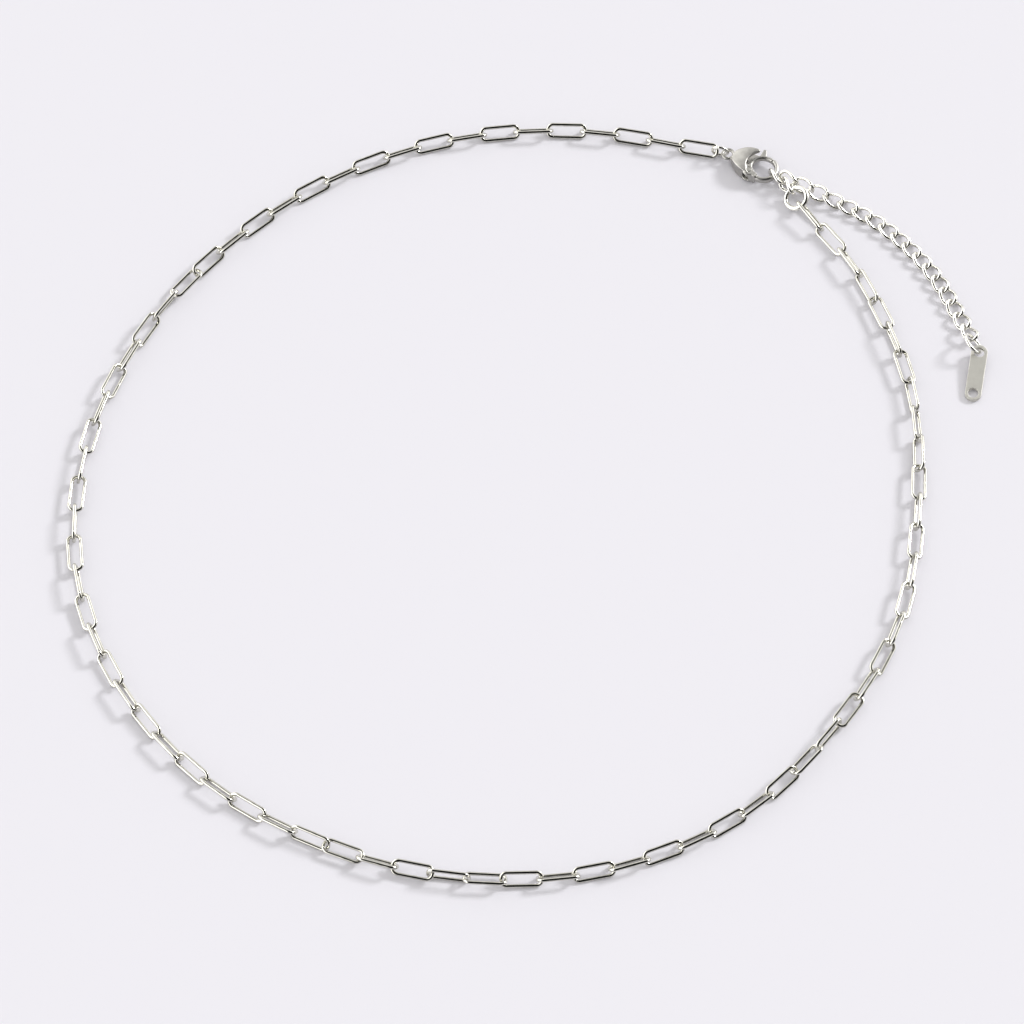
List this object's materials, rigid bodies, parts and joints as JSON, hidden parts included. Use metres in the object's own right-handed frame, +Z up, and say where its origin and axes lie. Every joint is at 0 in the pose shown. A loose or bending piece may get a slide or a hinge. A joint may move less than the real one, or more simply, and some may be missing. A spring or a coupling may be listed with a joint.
{
  "type": "paperclip chain necklace",
  "caption": "Fastened necklace of slim paperclip links with a lobster clasp, a short curb extender and a plain end tag, lying flat.",
  "frame": {"origin": "on the resting surface, below the middle of the outline", "axes": "+Z up from the surface, the clasp at the back on +X and +Y, the front of the chain on -Y"},
  "size_m": [0.1516, 0.1476, 0.0034],
  "materials": {
    "chain_steel": "polished drawn steel wire",
    "ring_steel": "polished steel wire with faint draw lines",
    "extender_steel": "bright polished steel wire",
    "clasp_steel": "cast and tumbled steel, satin",
    "tag_steel": "stamped steel plate, satin"
  },
  "bodies": {
    "necklace": {"chain": "chain_steel", "clasp_ring": "ring_steel", "clasp_body": "clasp_steel", "clasp_rivet": "clasp_steel", "end_ring": "ring_steel", "extender": "extender_steel", "tag_ring": "ring_steel", "tag": "tag_steel"},
    "lever": {"clasp_lever": "clasp_steel"}
  },
  "joints": [
    {"name": "clasp_lever", "type": "hinge", "parent": "necklace", "child": "lever", "pos_m": [0.03698, 0.06369, 0.0013], "axis": [0, 0, 1], "range_deg": [0, 20], "stiffness_Nm_per_rad": 0.01, "springref_deg": -5.73}
  ]
}
